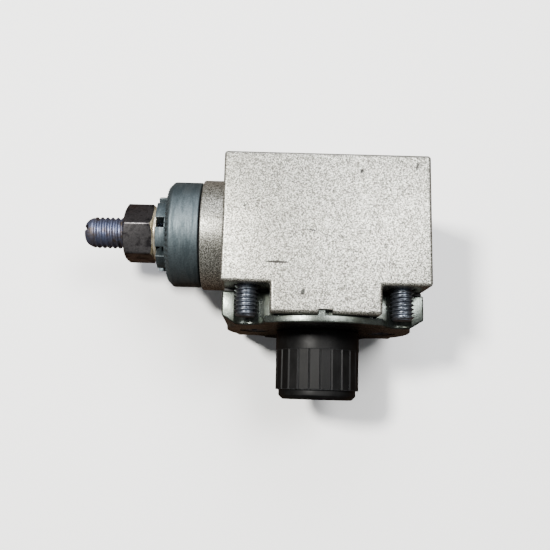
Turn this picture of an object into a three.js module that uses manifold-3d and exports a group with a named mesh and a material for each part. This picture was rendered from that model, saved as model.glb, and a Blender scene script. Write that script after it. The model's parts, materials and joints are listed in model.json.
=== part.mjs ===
// Rotary operating head of a heavy-duty limit switch, lying on its back.
// Millimetres, +Z up. The shaft axis runs along X with its threaded end at -X, and the plunger
// axis runs along Y with the selector hub at -Y. The origin lies in the flat back face, straight
// below the point where the two axes cross.
import * as THREE from 'three';
import { mergeVertices } from 'three/addons/utils/BufferGeometryUtils.js';
import Module from 'manifold-3d';

const wasm = await Module();
wasm.setup();

// ---------------------------------------------------------------- driving dimensions
const seat = 0.1; // between pieces that sit against each other
const running = 0.05; // radial, between a turning or sliding piece and its guide

// Housing. "Drop" is a distance down from the shaft axis, towards the selector hub.
const housingWidth = 35;
const housingDepth = 35;
const topRise = 10.75;
const ceilingDrop = 11.75;
const skirtDrop = 16.7;
const edgeRadius = 0.6;
const wall = 2.2;
const roofWall = 2.25;
const notchWidth = 8.3;
const skirtReturn = 1.2;
const keySlotFrom = -1.3;
const keySlotTo = 1.1;
const keySlotHeight = 0.75;

// Neck and bearings on the shaft axis. "Out" is a distance from the plunger axis towards the stud.
const neckRadius = 10.5;
const neckOut = 22.05;
const bushOuterRadius = 6;
const bushInnerOut = 12.4;
const bushOuterOut = 20.2;
const bushBossRadius = 8;
const sealOuterRadius = 7;
const sealThickness = 1.45;
const endBushOuterRadius = 4;
const endBushLength = 4.4;
const endBossRadius = 5.6;

// Bottom plate.
const plateDrop = 18.05;
const plateRimRadius = 17;
const plateFloor = 2.85;
const lugDrop = 16.6;
const lugDepth = 10.6;
const lugWall = 2.2;
const lugInset = 0.05;
const lugChamfer = 2.4;
const gasketThickness = 0.4;
const gasketInset = 0.35;
const plateScrewOut = 11.8;
const plateScrewRadius = 1.5;
const plateScrewHeadRadius = 2.7;
const plateScrewLength = 9;
const plateScrewRecess = 0.15;
const pillarHalfWidth = 2.6;
const pillarTopDrop = 6.6;

// Captive screws, M4 with a fillister head.
const screwInsetX = 4.3;
const screwLugGap = 0.5; // beside the bottom plate's lugs
const screwRadius = 2;
const screwLength = 16;
const screwTipDrop = 17.05;
const screwHeadRadius = 3.2;
const screwHeadHeight = 2.6;
const screwSlotWidth = 1;
const screwHole = 2.2;
const counterboreGap = 0.25;
const screwWasherThickness = 0.8;
const screwGrooveRadius = 3.3;

// Shaft, M6 at its outer end.
const journalRadius = 4;
const journalOuterOut = 22.3;
const discSeatRadius = 3.5;
const studRadius = 3;
const studTipOut = 44.8;
const studTaper = 2.2;
const studTipRadius = 2.1;
const studSlotWidth = 1;
const studSlotDepth = 0.9;
const studSlotTurn = 12; // degrees from +Z towards +Y
const camSeatRadius = 2.5;
const camFlat = 1.9;
const clipThickness = 0.6;
const shaftClipRadius = 5.4;
const shaftClipGroove = 0.45;
const thrustWasherRadius = 5.8;
const thrustWasherThickness = 0.4;
const camClipRadius = 3.9;
const camClipGroove = 0.4;

// Pieces that clamp the lever on the shaft.
const discRadius = 10.05;
const discGap = 0.3;
const discFaceOut = 28.5;
const discChamfer = 0.9;
const discTeeth = 60;
const discToothDepth = 0.35;
const discToothInner = 5.4;
const leverWasherRadius = 7.1;
const leverWasherThickness = 1.95;
const leverWasherBase = 0.3;
const castellations = 8;
const castellationGap = 16; // degrees
const castellationPhase = 5; // degrees from +Z towards +Y
const castellationInner = 4.2;
const nutWasherRadius = 5.3;
const nutWasherThickness = 0.6;
const nutAcrossFlats = 10;
const nutLength = 5.6;
const nutPhase = 6.5; // degrees from +Z towards +Y

// Cams. A flat follower on this cam moves by camLift for each radian that the shaft turns.
const camRest = 5.8;
const camLift = 2;
const shaftTurn = 70; // degrees each way
const camMargin = 2; // degrees of profile beyond the shaft's turn
const camBase = 3.25;
const camWidth = 4.4;
const camSpacerWidth = 2;
const camSpacerRadius = 3.2;

// Followers, their guide and their springs.
const followerGap = 0.06;
const followerPlate = 1.5;
const followerHalfX = 2.3;
const followerHalfZ = 4.5;
const followerStem = 2;
const followerTipDrop = 17.6;
const guideHalfX = 8.2;
const guideHalfZ = 8;
const guideTopDrop = 10.6;
const guideLeg = 2;
const guideFloor = 0.55;
const followerSpringRadius = 1.85;
const followerSpringWire = 0.4;
const followerSpringTurns = 4;
const springPocketGap = 0.25;

// Selector hub.
const hubRadius = 7.7;
const hubNeckRadius = 6.5;
const hubNeckTopDrop = 13;
const hubBore = 5;
const hubRibsFrom = 21.6;
const hubRibsTo = 28.8;
const hubRibs = 24;
const hubGrooveDepth = 0.28;
const hubGrooveHalf = 1.9; // degrees
const hubEndRadius = 7.1;
const hubEndDrop = 30.55;
const hubEndChamfer = 0.7;
const hubChamberDrop = 28;
const hubKeyWidth = 1;
const hubKeyHeight = 0.6;
const hubRingThickness = 0.6;
const hubRingRadius = 7.6;
const hubRingGroove = 0.55;
const oRingWire = 0.8;
const waveWasherRadius = 8.2;
const waveWasherThickness = 0.3;
const waveHeight = 0.18;

// Plunger.
const plungerTravel = 2.2;
const plungerStem = 2.65;
const plungerHeadRadius = 4.8;
const plungerHead = 1.45;
const crownHeight = 1.2;
const crownInner = 2.3;
const crownOuter = 4.2;
const crownSector = 56; // degrees
const stopRingRadius = 5.4;
const stopRingThickness = 0.5;
const plungerSpringRadius = 3.7;
const plungerSpringWire = 0.5;
const plungerSpringTurns = 3;

// ---------------------------------------------------------------- derived places
const axisHeight = housingDepth / 2;
const halfWidth = housingWidth / 2;
const halfDepth = housingDepth / 2;
const screwPitchX = housingWidth - 2 * screwInsetX;
const screwPitchZ = 2 * (lugDepth + screwRadius + screwLugGap);
const skirtHalf = halfWidth - notchWidth;
const cavityX = halfWidth - wall;
const cavityZ = halfDepth - wall;
const counterbore = screwHeadRadius + counterboreGap;
const cornerX = screwPitchX / 2 - counterbore - skirtReturn;
const cornerZ = screwPitchZ / 2 - counterbore - skirtReturn;
const screwHeadDrop = screwTipDrop - screwLength;
const screwSeatDrop = screwHeadDrop + screwWasherThickness + seat;
const plateTopDrop = plateDrop - plateFloor;
const gasketTopDrop = ceilingDrop + seat;
const lugTopDrop = gasketTopDrop + gasketThickness + seat / 2;
const lugHalfX = halfWidth - lugInset;
const plateCavityX = lugHalfX - lugWall - 0.6;
const plateCavityZ = lugDepth - lugWall;
const pillarInner = plateScrewOut - pillarHalfWidth;
const pillarOuter = plateCavityX - 2 * seat;
const camInner = camSpacerWidth / 2 + seat;
const camOuter = camInner + camWidth;
const camShoulder = camOuter + seat;
const endBushInner = halfWidth - wall - endBushLength;
const thrustOut = bushInnerOut - running;
const shaftClipOut = thrustOut - thrustWasherThickness - seat;
const leverWasherOut = discFaceOut + running;
const leverWasherTop = leverWasherOut + leverWasherThickness;
const nutWasherOut = leverWasherTop + seat;
const nutOut = nutWasherOut + nutWasherThickness + running;
const followerX = camInner + camWidth / 2 - seat;
const followerTopDrop = camRest + followerGap;
const followerBottomDrop = followerTopDrop + followerPlate;
const springPocket = followerSpringRadius + followerSpringWire / 2 + springPocketGap;
const guideBottomDrop = hubNeckTopDrop - 0.15;
const springSeatDrop = guideBottomDrop - guideFloor;
const hubShoulderDrop = plateDrop + 0.15;
const waveRoom = waveWasherThickness + 2 * waveHeight;
const waveWasherDrop = plateTopDrop - seat / 2 - waveRoom / 2;
const hubRingDrop = plateTopDrop - waveRoom - seat - hubRingThickness;
const oRingDrop = (plateTopDrop + plateDrop) / 2 + 0.2;
const stopRingDrop = followerTipDrop + camLift * THREE.MathUtils.degToRad(shaftTurn) + 0.86;
const plungerHeadDrop = stopRingDrop + stopRingThickness + seat;
const crownDrop = plungerHeadDrop - crownHeight;
const plungerTipDrop = hubEndDrop - 0.4;

// ---------------------------------------------------------------- solids
const turn = THREE.MathUtils.degToRad;

// A closed solid for cutting and joining, from any closed geometry.
function solid(geometry) {
  const bare = geometry.index ? geometry.toNonIndexed() : geometry.clone();
  bare.deleteAttribute('normal');
  bare.deleteAttribute('uv');
  const merged = mergeVertices(bare, 1e-4);
  return new wasm.Manifold(new wasm.Mesh({
    numProp: 3,
    vertProperties: merged.attributes.position.array,
    triVerts: new Uint32Array(merged.index.array),
  }));
}

function join(...geometries) {
  return geometries.map(solid).reduce((all, next) => all.add(next));
}

function cut(body, ...tools) {
  return tools.reduce((rest, tool) => rest.subtract(solid(tool)), body);
}

function geometryOf(body) {
  const { vertProperties, triVerts, numProp } = body.getMesh();
  const position = new Float32Array((vertProperties.length / numProp) * 3);
  for (let v = 0; v < position.length / 3; v += 1) {
    for (let k = 0; k < 3; k += 1) position[3 * v + k] = vertProperties[numProp * v + k];
  }
  const geometry = new THREE.BufferGeometry();
  geometry.setAttribute('position', new THREE.BufferAttribute(position, 3));
  geometry.setIndex(new THREE.BufferAttribute(new Uint32Array(triVerts), 1));
  geometry.computeVertexNormals();
  return geometry;
}

// A block between two X, two drops below the shaft axis and two Z from the shaft axis.
function block(x0, x1, drop0, drop1, z0, z1) {
  const geometry = new THREE.BoxGeometry(x1 - x0, drop1 - drop0, z1 - z0);
  geometry.translate((x0 + x1) / 2, -(drop0 + drop1) / 2, axisHeight + (z0 + z1) / 2);
  return geometry;
}

// A solid of revolution about its own +Y, from a closed outline of [radius, distance].
function revolve(outline, segments) {
  const ring = outline.concat([outline[0]]);
  let area = 0;
  for (let i = 1; i < ring.length; i += 1) {
    area += ring[i - 1][0] * ring[i][1] - ring[i][0] * ring[i - 1][1];
  }
  const path = area > 0 ? ring : ring.slice().reverse();
  return new THREE.LatheGeometry(path.map(([r, d]) => new THREE.Vector2(r, d)), segments);
}

// The same, turned so that distance runs out along the shaft, or down the plunger axis.
function aboutShaft(outline, segments = 36) {
  return revolve(outline, segments).rotateZ(Math.PI / 2).translate(0, 0, axisHeight);
}

function aboutPlunger(outline, segments = 36, x = 0, z = 0) {
  return revolve(outline, segments).rotateX(Math.PI).translate(x, 0, axisHeight + z);
}

function shaftRing(inner, outer, out0, out1, segments = 36) {
  const low = Math.max(inner, 0);
  return aboutShaft([[low, out0], [outer, out0], [outer, out1], [low, out1]], segments);
}

function plungerRing(inner, outer, drop0, drop1, segments = 36, x = 0, z = 0) {
  const outline = [[inner, drop0], [outer, drop0], [outer, drop1], [inner, drop1]];
  return aboutPlunger(outline, segments, x, z);
}

// A ring sector extruded along +Z: angles in degrees from +X towards +Y.
function sector(inner, outer, from, to, length) {
  const shape = new THREE.Shape();
  shape.absarc(0, 0, outer, turn(from), turn(to), false);
  shape.absarc(0, 0, inner, turn(to), turn(from), true);
  shape.closePath();
  const curveSegments = Math.max(2, Math.round((to - from) / 26));
  return new THREE.ExtrudeGeometry(shape, { depth: length, bevelEnabled: false, curveSegments });
}

// Placed on the shaft, where its angles run from +Z towards +Y.
function shaftSector(inner, outer, from, to, out0, out1) {
  return sector(inner, outer, from, to, out1 - out0)
    .rotateY(-Math.PI / 2).translate(-out0, 0, axisHeight);
}

// Placed on the plunger axis, where its angles run from +X towards +Z.
function plungerSector(inner, outer, from, to, drop0, drop1) {
  return sector(inner, outer, from, to, drop1 - drop0)
    .rotateX(Math.PI / 2).translate(0, -drop0, axisHeight);
}

// A block with every edge rounded, between the same limits as block().
function roundedBlock(x0, x1, drop0, drop1, z0, z1, radius) {
  const shape = new THREE.Shape();
  const [left, right] = [x0 + radius, x1 - radius];
  const [low, high] = [-drop1 + radius, -drop0 - radius];
  const inner = radius * 0.02;
  shape.absarc(right, low, inner, -Math.PI / 2, 0, false);
  shape.absarc(right, high, inner, 0, Math.PI / 2, false);
  shape.absarc(left, high, inner, Math.PI / 2, Math.PI, false);
  shape.absarc(left, low, inner, Math.PI, Math.PI * 1.5, false);
  shape.closePath();
  const geometry = new THREE.ExtrudeGeometry(shape, {
    depth: z1 - z0 - 2 * radius,
    bevelSize: radius - inner,
    bevelThickness: radius,
    bevelSegments: 3,
    curveSegments: 3,
  });
  return geometry.translate(0, 0, axisHeight + z0 + radius);
}

// A round-wire coil down the plunger axis, flattened at both ends by its outermost half turns.
function coil(radius, wire, turns, drop0, drop1, x = 0) {
  const [top, bottom] = [drop0 + wire / 2, drop1 - wire / 2];
  class Helix extends THREE.Curve {
    getPoint(t, target = new THREE.Vector3()) {
      const around = 2 * Math.PI * turns * t;
      const rest = 0.5 / turns;
      const along = Math.min(1, Math.max(0, (t - rest) / (1 - 2 * rest)));
      const drop = top + (bottom - top) * along;
      return target.set(radius * Math.cos(around), -drop, radius * Math.sin(around));
    }
  }
  const section = new THREE.Shape();
  section.absarc(0, 0, wire / 2 - 0.01, 0, 2 * Math.PI, false);
  const geometry = new THREE.ExtrudeGeometry(section, {
    steps: turns * 10,
    extrudePath: new Helix(),
    curveSegments: 3,
  });
  return geometry.translate(x, 0, axisHeight);
}

// The four corners of the screw pattern, as signs of X and Z.
const corners = [[-1, 1], [1, 1], [-1, -1], [1, -1]];

function atCorner([sx, sz]) {
  return [sx * screwPitchX / 2, sz * screwPitchZ / 2];
}

// ---------------------------------------------------------------- housing
function makeHousing() {
  const shell = roundedBlock(
    -halfWidth, halfWidth, -topRise, skirtDrop, -halfDepth, halfDepth, edgeRadius,
  );
  const far = 30;
  let body = cut(
    solid(shell),
    block(skirtHalf, far, ceilingDrop, far, -far, far),
    block(-far, -skirtHalf, ceilingDrop, far, -far, far),
    block(-far, far, ceilingDrop, far, -lugDepth, lugDepth),
    block(-cavityX, cavityX, roofWall - topRise, far, -cornerZ, cornerZ),
    block(-cornerX, cornerX, roofWall - topRise, far, -cavityZ, cavityZ),
    block(
      skirtReturn - skirtHalf, skirtHalf - skirtReturn, ceilingDrop - 1, far, -cavityZ, cavityZ,
    ),
  );
  const pieces = [
    shaftRing(0, neckRadius, halfWidth - 1, neckOut, 64),
    shaftRing(0, bushBossRadius, bushInnerOut, halfWidth - 1),
    shaftRing(0, endBossRadius, 1 - halfWidth, -endBushInner),
  ];
  for (const side of [-1, 1]) {
    const [a, b] = [side * pillarInner, side * pillarOuter];
    const reach = side * (cavityX + 0.5);
    const half = pillarHalfWidth;
    const [low, high] = [Math.min(a, b), Math.max(a, b)];
    pieces.push(block(low, high, pillarTopDrop, plateTopDrop - seat, -half, half));
    pieces.push(block(
      Math.min(a, reach), Math.max(a, reach), pillarTopDrop, ceilingDrop, -half, half,
    ));
  }
  body = pieces.map(solid).reduce((all, next) => all.add(next), body);
  body = cut(
    body,
    shaftRing(0, sealOuterRadius + running, bushOuterOut + seat, neckOut + 1),
    shaftRing(0, bushOuterRadius + running, bushInnerOut - 1, neckOut),
    shaftRing(0, endBushOuterRadius + running, -(halfWidth - wall), 1 - endBushInner),
    block(keySlotFrom, keySlotTo, skirtDrop - keySlotHeight, far, cavityZ - 1, far),
  );
  for (const corner of corners) {
    const [x, z] = atCorner(corner);
    body = cut(
      body,
      plungerRing(0, counterbore, -far, screwSeatDrop, 32, x, z),
      plungerRing(0, screwHole, 0, far, 24, x, z),
    );
  }
  for (const side of [-1, 1]) {
    const hole = plateScrewRadius + running;
    const top = plateDrop - plateScrewLength - 0.6;
    body = cut(body, plungerRing(0, hole, top, far, 24, side * plateScrewOut, 0));
  }
  return geometryOf(body);
}

// ---------------------------------------------------------------- bottom plate
function makeBottomPlate() {
  const side = new THREE.Shape();
  side.moveTo(-lugHalfX, -lugTopDrop);
  side.lineTo(-lugHalfX, -lugDrop);
  side.lineTo(lugChamfer - lugHalfX, -plateDrop);
  side.lineTo(lugHalfX - lugChamfer, -plateDrop);
  side.lineTo(lugHalfX, -lugDrop);
  side.lineTo(lugHalfX, -lugTopDrop);
  side.closePath();
  const lugs = new THREE.ExtrudeGeometry(side, { depth: 2 * lugDepth, bevelEnabled: false });
  lugs.translate(0, 0, axisHeight - lugDepth);
  const slabX = skirtHalf - skirtReturn - seat;
  const slabZ = cavityZ - seat;
  const keyTop = skirtDrop - keySlotHeight + seat;
  const rimTop = skirtDrop + seat;
  let body = join(
    lugs,
    plungerRing(0, plateRimRadius, rimTop, plateDrop, 96),
    block(-slabX, slabX, plateTopDrop, rimTop + 0.2, -slabZ, slabZ),
    block(keySlotFrom + seat, (keySlotFrom + keySlotTo) / 2, keyTop, rimTop + 0.2,
      slabZ - 1, plateRimRadius - 0.1),
  );
  body = cut(
    body,
    block(-plateCavityX, plateCavityX, 0, plateTopDrop, -plateCavityZ, plateCavityZ),
    plungerRing(0, hubNeckRadius + 2 * running, 0, plateDrop + 1),
  );
  for (const corner of corners) {
    const [x, z] = atCorner(corner);
    body = cut(body, plungerRing(0, screwGrooveRadius, 0, plateDrop + 1, 40, x, z));
  }
  for (const sign of [-1, 1]) {
    const hole = plateScrewRadius + seat;
    const wide = plateScrewHeadRadius + seat;
    const coneEnd = plateDrop - plateScrewRecess - seat / 2;
    const outline = [
      [0, 0], [hole, 0], [hole, coneEnd - wide + hole], [wide, coneEnd],
      [wide, plateDrop + 1], [0, plateDrop + 1],
    ];
    body = cut(body, aboutPlunger(outline, 24, sign * plateScrewOut, 0));
  }
  return geometryOf(body);
}

function makeCoverGasket() {
  const [outerX, outerZ] = [lugHalfX - gasketInset, lugDepth - gasketInset];
  const [innerX, innerZ] = [plateCavityX + gasketInset, plateCavityZ + gasketInset];
  const bottom = gasketTopDrop + gasketThickness;
  let body = solid(block(-outerX, outerX, gasketTopDrop, bottom, -outerZ, outerZ));
  body = cut(body, block(-innerX, innerX, 0, plateDrop, -innerZ, innerZ));
  for (const corner of corners) {
    const [x, z] = atCorner(corner);
    body = cut(body, plungerRing(0, screwGrooveRadius + gasketInset, 0, plateDrop, 40, x, z));
  }
  return geometryOf(body);
}

function makePlateScrew(side) {
  const top = plateDrop - plateScrewLength;
  const recess = plateDrop - plateScrewRecess;
  const outline = [
    [0, top], [plateScrewRadius - 0.3, top], [plateScrewRadius, top + 0.3],
    [plateScrewRadius, recess - plateScrewHeadRadius + plateScrewRadius],
    [plateScrewHeadRadius, recess], [0, recess],
  ];
  const x = side * plateScrewOut;
  const cross = 0.45;
  const arm = 1.5;
  const depth = 1;
  return geometryOf(cut(
    solid(aboutPlunger(outline, 24, x, 0)),
    block(x - arm, x + arm, recess - depth, recess + 1, -cross, cross),
    block(x - cross, x + cross, recess - depth, recess + 1, -arm, arm),
  ));
}

// ---------------------------------------------------------------- captive screws
function makeCaptiveScrew(corner) {
  const [x, z] = atCorner(corner);
  const top = screwHeadDrop - screwHeadHeight;
  const tipChamfer = 0.45;
  const outline = [
    [0, top], [screwHeadRadius - 0.5, top], [screwHeadRadius, top + 0.6],
    [screwHeadRadius, screwHeadDrop], [screwRadius, screwHeadDrop],
    [screwRadius, screwTipDrop - tipChamfer], [screwRadius - tipChamfer, screwTipDrop],
    [0, screwTipDrop],
  ];
  const slot = new THREE.BoxGeometry(3 * screwHeadRadius, 2.4, screwSlotWidth);
  slot.rotateY(turn(35) * corner[0] + turn(20) * corner[1]);
  slot.translate(x, -top, axisHeight + z);
  return geometryOf(cut(solid(aboutPlunger(outline, 24, x, z)), slot));
}

// A split spring washer under the screw head.
function makeCaptiveWasher(corner) {
  const [x, z] = atCorner(corner);
  const drop = screwSeatDrop - screwWasherThickness - seat / 2;
  const washer = plungerSector(
    screwRadius + 2 * running, counterbore - 0.2, 5, 355, drop, drop + screwWasherThickness,
  );
  return washer.translate(x, 0, z);
}

// ---------------------------------------------------------------- shaft and its bearings
function makeShaft() {
  const groove = journalRadius - shaftClipGroove;
  const clipInner = shaftClipOut - clipThickness;
  const outline = [
    [0, 0.7 - halfWidth + wall], [camSeatRadius - 0.3, 0.7 - halfWidth + wall],
    [camSeatRadius, 1 - halfWidth + wall], [camSeatRadius, -camShoulder - clipThickness - seat],
    [camSeatRadius - camClipGroove, -camShoulder - clipThickness - seat],
    [camSeatRadius - camClipGroove, -camShoulder], [camSeatRadius, -camShoulder],
    [camSeatRadius, camShoulder], [journalRadius, camShoulder],
    [journalRadius, clipInner - running], [groove, clipInner - running],
    [groove, shaftClipOut + running], [journalRadius, shaftClipOut + running],
    [journalRadius, journalOuterOut], [discSeatRadius, journalOuterOut],
    [discSeatRadius, discFaceOut - seat], [studRadius, discFaceOut - seat],
    [studRadius, studTipOut - studTaper], [studTipRadius, studTipOut - 0.3],
    [studTipRadius - 0.35, studTipOut], [0, studTipOut],
  ];
  const slot = new THREE.BoxGeometry(2 * studSlotDepth, studSlotWidth, 4 * studRadius);
  slot.rotateX(-turn(studSlotTurn)).translate(-studTipOut, 0, axisHeight);
  return geometryOf(cut(
    solid(aboutShaft(outline, 40)),
    block(-camShoulder, camShoulder, -journalRadius, -camFlat, -journalRadius, journalRadius),
    slot,
  ));
}

function makeShaftBush() {
  return shaftRing(journalRadius + running, bushOuterRadius, bushInnerOut, bushOuterOut);
}

function makeEndBush() {
  const inner = camSeatRadius + running;
  return shaftRing(inner, endBushOuterRadius, seat - halfWidth + wall, -endBushInner, 40);
}

// A rubber ring with an open groove behind its lip.
function makeShaftSeal() {
  const out = bushOuterOut + 2 * seat;
  const lip = journalRadius + running;
  return aboutShaft([
    [lip, out], [sealOuterRadius, out], [sealOuterRadius, out + sealThickness],
    [sealOuterRadius - 0.9, out + sealThickness], [sealOuterRadius - 1.1, out + 0.6],
    [lip + 0.8, out + 0.6], [lip + 0.45, out + sealThickness], [lip, out + sealThickness],
  ]);
}

function makeThrustWasher() {
  const inner = journalRadius + running;
  return shaftRing(inner, thrustWasherRadius, thrustOut - thrustWasherThickness, thrustOut);
}

function makeShaftCirclip() {
  const inner = journalRadius - shaftClipGroove + running;
  return shaftSector(inner, shaftClipRadius, 20, 340, shaftClipOut - clipThickness, shaftClipOut);
}

function makeCamClip() {
  const inner = camSeatRadius - camClipGroove + running;
  const out = -camShoulder - seat / 2;
  return shaftSector(inner, camClipRadius, 110, 430, out - clipThickness, out);
}

// ---------------------------------------------------------------- cams
// side is 1 for the cam whose follower goes down when the shaft turns clockwise seen from
// inside, and -1 for its mirror image. The working profile has a support distance that grows
// evenly with angle, so a flat follower moves evenly with the shaft. Straight flanks join it to
// the base circle.
function camOutline(side) {
  const reach = shaftTurn + camMargin;
  const points = [];
  for (let degrees = -reach; degrees <= reach; degrees += 4) {
    const a = turn(degrees);
    const support = camRest - side * camLift * a;
    const slope = -side * camLift;
    points.push([
      support * Math.sin(a) + slope * Math.cos(a),
      -support * Math.cos(a) + slope * Math.sin(a),
    ]);
  }
  for (let degrees = 0; degrees < 360; degrees += 8) {
    points.push([camBase * Math.cos(turn(degrees)), camBase * Math.sin(turn(degrees))]);
  }
  const outline = [];
  for (let degrees = 0; degrees < 360; degrees += 1) {
    const [u, v] = [Math.cos(turn(degrees)), Math.sin(turn(degrees))];
    const furthest = points.reduce((a, b) => (b[0] * u + b[1] * v > a[0] * u + a[1] * v ? b : a));
    if (outline.at(-1) !== furthest && outline[0] !== furthest) outline.push(furthest);
  }
  return outline;
}

function makeCam(side) {
  const shape = new THREE.Shape(camOutline(side).map(([z, y]) => new THREE.Vector2(z, y)));
  const disc = new THREE.ExtrudeGeometry(shape, { depth: camWidth, bevelEnabled: false });
  const out = side > 0 ? -camOuter : camInner;
  disc.rotateY(-Math.PI / 2).translate(-out, 0, axisHeight);
  const bore = cut(
    solid(shaftRing(0, camSeatRadius + running, out - 1, out + camWidth + 1, 40)),
    block(-camOuter - 2, camOuter + 2, -camSeatRadius - 1, -camFlat - running, -5, 5),
  );
  return geometryOf(solid(disc).subtract(bore));
}

function makeCamSpacer() {
  const half = camSpacerWidth / 2;
  return shaftRing(camSeatRadius + running, camSpacerRadius, -half, half, 40);
}

// ---------------------------------------------------------------- pieces outside the neck
// The teeth are radial ridges, made by lowering every other line of the toothed face.
function makeSerratedDisc() {
  const back = neckOut + discGap;
  const outline = [
    [discSeatRadius + running, back], [discRadius - 0.25, back], [discRadius, back + 0.25],
    [discRadius, discFaceOut - discChamfer], [discRadius - discChamfer, discFaceOut],
    [discToothInner, discFaceOut], [discToothInner - 0.3, discFaceOut - discToothDepth - 0.05],
    [discSeatRadius + running, discFaceOut - discToothDepth - 0.05],
  ];
  const disc = revolve(outline, 2 * discTeeth);
  const position = disc.attributes.position;
  for (let i = 0; i < position.count; i += 1) {
    const [x, y, z] = [position.getX(i), position.getY(i), position.getZ(i)];
    const line = Math.round(Math.atan2(x, z) / (Math.PI / discTeeth));
    if (Math.abs(y - discFaceOut) < 1e-3 && line % 2 !== 0) position.setY(i, y - discToothDepth);
  }
  return disc.rotateZ(Math.PI / 2).translate(0, 0, axisHeight);
}

function makeLeverWasher() {
  const top = leverWasherTop;
  let body = solid(shaftRing(studRadius + 2 * running, leverWasherRadius, leverWasherOut, top, 64));
  const base = leverWasherOut + leverWasherBase;
  body = cut(body, shaftRing(0, castellationInner, base, top + 1));
  for (let i = 0; i < castellations; i += 1) {
    const middle = castellationPhase + (i * 360) / castellations;
    const half = castellationGap / 2;
    body = cut(body, shaftSector(
      castellationInner - 1, leverWasherRadius + 1, middle - half, middle + half, base, top + 1,
    ));
  }
  return geometryOf(body);
}

function makeNutWasher() {
  const [inner, outer] = [studRadius + 2 * running, nutWasherRadius];
  const end = nutWasherOut + nutWasherThickness;
  return aboutShaft([
    [inner, nutWasherOut], [outer, nutWasherOut], [outer, end - 0.2], [outer - 0.2, end],
    [inner, end],
  ]);
}

// A hexagon whose corners are turned down to a cone at both ends.
function makeHexNut() {
  const cornerRadius = nutAcrossFlats / Math.sqrt(3);
  const end = nutOut + nutLength;
  const hexagon = new THREE.CylinderGeometry(cornerRadius, cornerRadius, nutLength, 6);
  hexagon.rotateZ(Math.PI / 2).rotateX(-turn(nutPhase));
  hexagon.translate(-nutOut - nutLength / 2, 0, axisHeight);
  const cone = 0.9;
  const drop = cone * Math.tan(turn(30));
  const flat = nutAcrossFlats / 2 - 0.1;
  const blank = aboutShaft([
    [0, nutOut], [flat, nutOut], [flat + cone, nutOut + drop], [flat + cone, end - drop],
    [flat, end], [0, end],
  ], 48);
  const nut = solid(hexagon).intersect(solid(blank));
  return geometryOf(cut(nut, shaftRing(0, studRadius + running, nutOut - 1, end + 1, 40)));
}

// ---------------------------------------------------------------- followers
function makeFollower(side) {
  const x = side * followerX;
  const half = followerStem / 2;
  return geometryOf(join(
    block(x - followerHalfX, x + followerHalfX, followerTopDrop, followerBottomDrop,
      -followerHalfZ, followerHalfZ),
    block(x - half, x + half, followerTopDrop + 0.2, followerTipDrop, -half, half),
  ));
}

function makeFollowerSpring(side) {
  const top = followerBottomDrop + running;
  const bottom = springSeatDrop - running;
  return coil(
    followerSpringRadius, followerSpringWire, followerSpringTurns, top, bottom, side * followerX,
  );
}

// A bridge over the hub's neck, on four legs, with a square hole for each follower's stem.
function makeFollowerGuide() {
  const legX = guideHalfX - guideLeg;
  const legZ = guideHalfZ - guideLeg;
  const foot = plateTopDrop - seat;
  let body = cut(
    solid(block(-guideHalfX, guideHalfX, guideTopDrop, foot, -guideHalfZ, guideHalfZ)),
    block(-legX, legX, guideBottomDrop, foot + 1, -guideHalfZ - 1, guideHalfZ + 1),
    block(-guideHalfX - 1, guideHalfX + 1, guideBottomDrop, foot + 1, -legZ, legZ),
  );
  const hole = followerStem / 2 + running;
  for (const side of [-1, 1]) {
    const x = side * followerX;
    body = cut(
      body,
      plungerRing(0, springPocket, 0, springSeatDrop, 32, x, 0),
      block(x - hole, x + hole, 0, foot, -hole, hole),
    );
  }
  return geometryOf(body);
}

// ---------------------------------------------------------------- selector hub
function ribOutline() {
  const points = [];
  for (let i = 0; i < hubRibs; i += 1) {
    const middle = (i * 360) / hubRibs;
    const pitch = 360 / hubRibs;
    const steps = [
      [0, hubRadius - hubGrooveDepth], [hubGrooveHalf, hubRadius],
      [pitch / 2, hubRadius], [pitch - hubGrooveHalf, hubRadius],
    ];
    for (const [angle, radius] of steps) {
      const a = turn(middle + angle);
      points.push(new THREE.Vector2(radius * Math.cos(a), radius * Math.sin(a)));
    }
  }
  return points;
}

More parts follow.
